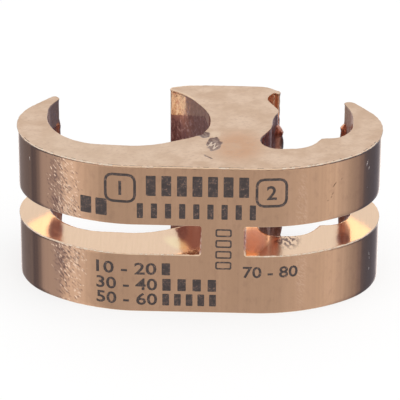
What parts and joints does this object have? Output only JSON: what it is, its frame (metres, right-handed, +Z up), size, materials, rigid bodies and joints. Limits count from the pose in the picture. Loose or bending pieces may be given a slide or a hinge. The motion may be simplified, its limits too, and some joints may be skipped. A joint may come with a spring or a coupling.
{
  "type": "e-type grounding connector",
  "caption": "E-shaped copper compression connector with a large and a small pocket that open to the back, slotted from both sides at mid height.",
  "frame": {"origin": "middle of the footprint, on the lower cut face", "axes": "+X runs along the web from the large pocket's arm to the small pocket's arm, +Y runs from the web's front to the open back, +Z up along the bar it was cut from"},
  "size_m": [0.057, 0.0286, 0.0254],
  "materials": {
    "copper": "bare drawn copper, saw-cut ends and milled slots"
  },
  "bodies": {
    "root": {"connector_body": "copper"}
  },
  "joints": []
}
